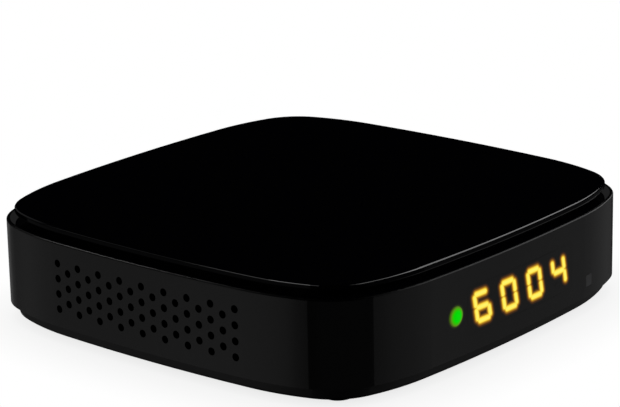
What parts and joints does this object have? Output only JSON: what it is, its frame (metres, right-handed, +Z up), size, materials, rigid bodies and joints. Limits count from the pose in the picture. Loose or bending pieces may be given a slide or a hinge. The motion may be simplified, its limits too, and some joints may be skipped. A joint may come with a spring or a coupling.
{
  "type": "satellite tv receiver",
  "caption": "Low square satellite TV receiver with a gloss lid plate, lit digit display, status lamp, vented sides, rear sockets and a rocker power switch.",
  "frame": {"origin": "on the desk plane, under the middle of the overall footprint, aerial connectors included", "axes": "+Z up, -Y out of the front face with the display, +X to the right seen from the front"},
  "size_m": [0.13, 0.134, 0.0297],
  "materials": {
    "gloss_black": "piano gloss",
    "satin_charcoal": "fine satin",
    "tray_charcoal": "fine satin",
    "foot_rubber": "matt",
    "zinc_screw": "zinc plated",
    "panel_black": "powder coat",
    "smoked_acrylic": "smoked",
    "amber_light": "lit amber",
    "unlit_bar": "dark",
    "green_lens": "lit green",
    "infrared_filter": "infrared filter",
    "module_black": "moulded",
    "board_green": "solder mask",
    "chip_black": "moulded epoxy",
    "pad_grey": "silicone",
    "sink_aluminium": "anodised",
    "can_steel": "tin plated",
    "nickel": "nickel plated",
    "white_insulator": "moulded",
    "contact_gold": "gold flashed",
    "socket_black": "moulded",
    "header_ivory": "moulded",
    "ribbon_grey": "flat cable",
    "lead_red": "insulation",
    "coil_grey": "ferrite"
  },
  "bodies": {
    "receiver": {"lid": "gloss_black", "top_cover": "gloss_black", "housing": "satin_charcoal", "base_tray": "tray_charcoal", "rubber_feet": "foot_rubber", "case_screws": "zinc_screw", "rear_panel": "panel_black", "display_window": "smoked_acrylic", "light_bars_lit": "amber_light", "light_bars_unlit": "unlit_bar", "display_module": "module_black", "display_board": "board_green", "status_lens": "green_lens", "status_led": "green_lens", "ir_window": "infrared_filter", "ir_receiver": "module_black", "main_board": "board_green", "board_screws": "zinc_screw", "soc_chip": "chip_black", "thermal_pad": "pad_grey", "heat_sink": "sink_aluminium", "memory_chip": "chip_black", "flash_chip": "chip_black", "lnb_regulator": "chip_black", "power_coils": "coil_grey", "smoothing_capacitors": "sink_aluminium", "clock_crystal": "can_steel", "ribbon_headers": "header_ivory", "display_ribbon": "ribbon_grey", "tuner_can": "can_steel", "tuner_cover": "can_steel", "tuner_chip": "chip_black", "lnb_in_connector": "nickel", "loop_out_connector": "nickel", "aerial_nuts": "nickel", "aerial_insulators": "white_insulator", "aerial_contacts": "contact_gold", "hdmi_shell": "can_steel", "hdmi_insert": "socket_black", "usb_shell": "can_steel", "usb_insert": "socket_black", "usb_contacts": "contact_gold", "av_jack": "socket_black", "power_inlet": "socket_black", "inlet_pin": "nickel", "switch_body": "socket_black", "switch_lugs": "contact_gold", "switch_leads": "lead_red"},
    "rocker": {"power_rocker": "socket_black"}
  },
  "joints": [
    {"name": "power_rocker_pivot", "type": "hinge", "parent": "receiver", "child": "rocker", "pos_m": [-0.0345, 0.0553, 0.0144], "axis": [-1, 0, 0], "range_deg": [0, 20]}
  ]
}
